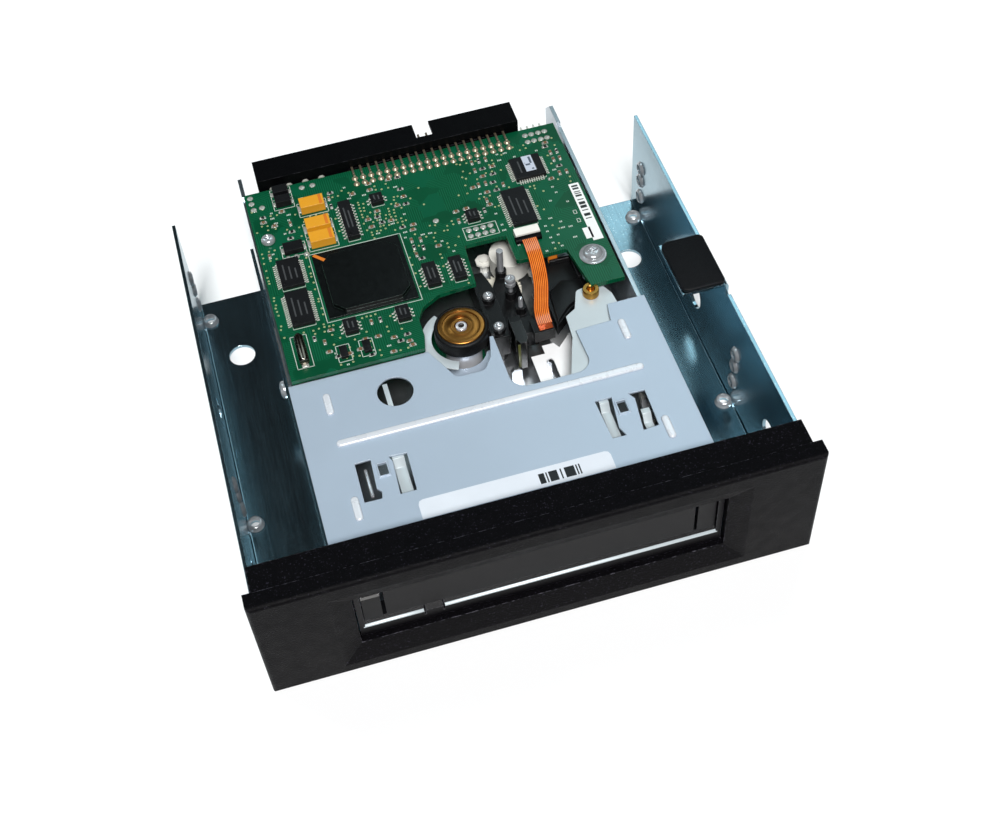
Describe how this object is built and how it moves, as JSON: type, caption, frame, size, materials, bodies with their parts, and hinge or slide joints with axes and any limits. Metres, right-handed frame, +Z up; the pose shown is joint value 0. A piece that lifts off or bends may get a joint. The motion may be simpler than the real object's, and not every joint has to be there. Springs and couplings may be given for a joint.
{
  "type": "data tape drive",
  "caption": "Internal tape drive, circuit side up, in a folded adapter bracket with a front bezel: sprung cartridge door, capstan, head lift and rear connectors.",
  "frame": {"origin": "middle of the footprint, on the plane that the bracket floor and the bezel stand on", "axes": "+X to the right seen from the bezel, +Y from the bezel to the rear connectors, +Z up"},
  "size_m": [0.149, 0.16, 0.0423],
  "materials": {
    "bezel_plastic": "fine moulded texture",
    "faceplate_plastic": "moulded",
    "door_plastic": "satin moulded",
    "light_pipe": "clear smoked",
    "bracket_zinc": "zinc plated",
    "chassis_zinc": "zinc plated",
    "deck_zinc": "zinc plated",
    "foam": "closed-cell foam",
    "cover_paint": "smooth blue-grey",
    "pale_plate": "satin",
    "board_green": "solder mask",
    "chip_black": "moulded epoxy",
    "tantalum_yellow": "moulded epoxy",
    "crystal_metal": "drawn can",
    "connector_black": "moulded",
    "pin_tin": "tin plated",
    "screw_steel": "zinc plated",
    "shaft_steel": "ground",
    "brass": "turned",
    "tyre_rubber": "ground rubber",
    "motor_base": "plated",
    "rotor_steel": "drawn can",
    "gear_plastic": "moulded acetal",
    "stepper_can": "pale plated",
    "head_black": "moulded",
    "ferrite": "lapped",
    "flex_amber": "polyimide",
    "ffc_white": "moulded",
    "spring_steel": "wire",
    "latch_plastic": "moulded acetal"
  },
  "bodies": {
    "root": {"front_bezel": "bezel_plastic", "adapter_bracket": "bracket_zinc", "foam_pad": "foam", "drive_chassis": "chassis_zinc", "side_screws": "screw_steel", "drive_faceplate": "faceplate_plastic", "door_hinge_rod": "shaft_steel", "activity_light": "light_pipe", "door_spring": "spring_steel", "latch_springs": "spring_steel", "top_cover": "cover_paint", "mechanism_plate": "deck_zinc", "loading_plate": "pale_plate", "capstan_motor": "motor_base", "motor_board": "board_green", "stepper_motor": "stepper_can", "guide_pins": "shaft_steel", "head_base": "head_black", "head_base_screws": "brass", "head_flex": "flex_amber", "brass_post": "brass", "sensor_housing": "head_black", "circuit_board": "board_green", "board_posts": "screw_steel", "board_screws": "screw_steel", "main_chip": "chip_black", "memory_chips": "chip_black", "driver_chips": "chip_black", "small_chips": "chip_black", "servo_chip": "chip_black", "buffer_chip": "chip_black", "tantalum_capacitors": "tantalum_yellow", "power_diodes": "chip_black", "crystal_can": "crystal_metal", "flex_connector": "ffc_white", "connector_shell": "connector_black", "interface_pins": "pin_tin", "power_pins": "pin_tin", "jumper_header": "connector_black", "jumper_pins": "pin_tin"},
    "cartridge_door": {"cartridge_door": "door_plastic"},
    "right_side_flap": {"right_side_flap": "door_plastic"},
    "left_side_flap": {"left_side_flap": "door_plastic"},
    "right_latch": {"right_latch_arm": "latch_plastic"},
    "left_latch": {"left_latch_arm": "latch_plastic"},
    "right_roller": {"right_latch_roller": "shaft_steel"},
    "left_roller": {"left_latch_roller": "shaft_steel"},
    "capstan": {"capstan_rotor": "rotor_steel", "capstan_hub": "brass", "capstan_tyre": "tyre_rubber"},
    "lead_screw": {"lead_screw": "shaft_steel", "lead_screw_gear": "gear_plastic"},
    "stepper_pinion": {"stepper_pinion": "gear_plastic"},
    "head_carriage": {"head_carriage": "head_black", "tape_head": "ferrite", "head_flex_tail": "flex_amber"}
  },
  "joints": [
    {"name": "door_hinge", "type": "hinge", "parent": "root", "child": "cartridge_door", "pos_m": [0, -0.0754, 0.03105], "axis": [1, 0, 0], "range_deg": [0, 85], "stiffness_Nm_per_rad": 0.0004, "springref_deg": -28.65},
    {"name": "right_flap_hinge", "type": "hinge", "parent": "root", "child": "right_side_flap", "pos_m": [0.04475, -0.0754, 0.03105], "axis": [1, 0, 0], "range_deg": [0, 85], "stiffness_Nm_per_rad": 0.00005, "springref_deg": -28.65},
    {"name": "left_flap_hinge", "type": "hinge", "parent": "root", "child": "left_side_flap", "pos_m": [-0.04475, -0.0754, 0.03105], "axis": [1, 0, 0], "range_deg": [0, 85], "stiffness_Nm_per_rad": 0.00005, "springref_deg": -28.65},
    {"name": "right_latch_pivot", "type": "hinge", "parent": "root", "child": "right_latch", "pos_m": [0.0456, -0.018, 0.021], "axis": [0, 0, 1], "range_deg": [0, 8], "stiffness_Nm_per_rad": 0.002, "springref_deg": -17.19},
    {"name": "left_latch_pivot", "type": "hinge", "parent": "root", "child": "left_latch", "pos_m": [-0.0456, -0.018, 0.021], "axis": [0, 0, -1], "range_deg": [0, 8], "stiffness_Nm_per_rad": 0.002, "springref_deg": -17.19},
    {"name": "right_roller_spin", "type": "hinge", "parent": "right_latch", "child": "right_roller", "pos_m": [0.0422, -0.04, 0.0247], "axis": [0, 0, 1], "continuous": true},
    {"name": "left_roller_spin", "type": "hinge", "parent": "left_latch", "child": "left_roller", "pos_m": [-0.0422, -0.04, 0.0247], "axis": [0, 0, 1], "continuous": true},
    {"name": "capstan_spin", "type": "hinge", "parent": "root", "child": "capstan", "pos_m": [-0.001, -0.0048, 0.03], "axis": [0, 0, 1], "continuous": true},
    {"name": "lead_screw_turn", "type": "hinge", "parent": "root", "child": "lead_screw", "pos_m": [0.0172, 0.0203, 0.02], "axis": [0, 0, 1], "range_deg": [-1080, 1080]},
    {"name": "pinion_turn", "type": "hinge", "parent": "root", "child": "stepper_pinion", "pos_m": [0.02159, 0.02699, 0.018], "axis": [0, 0, 1], "range_deg": [-2530, 2530]},
    {"name": "head_lift", "type": "slide", "parent": "root", "child": "head_carriage", "axis": [0, 0, 1], "range_m": [-0.0024, 0.0024]}
  ],
  "couplings": [
    {"joint": "pinion_turn", "follows": "lead_screw_turn", "ratio": -2.3333},
    {"joint": "head_lift", "follows": "lead_screw_turn", "m_per_rad": 0.00012732}
  ]
}
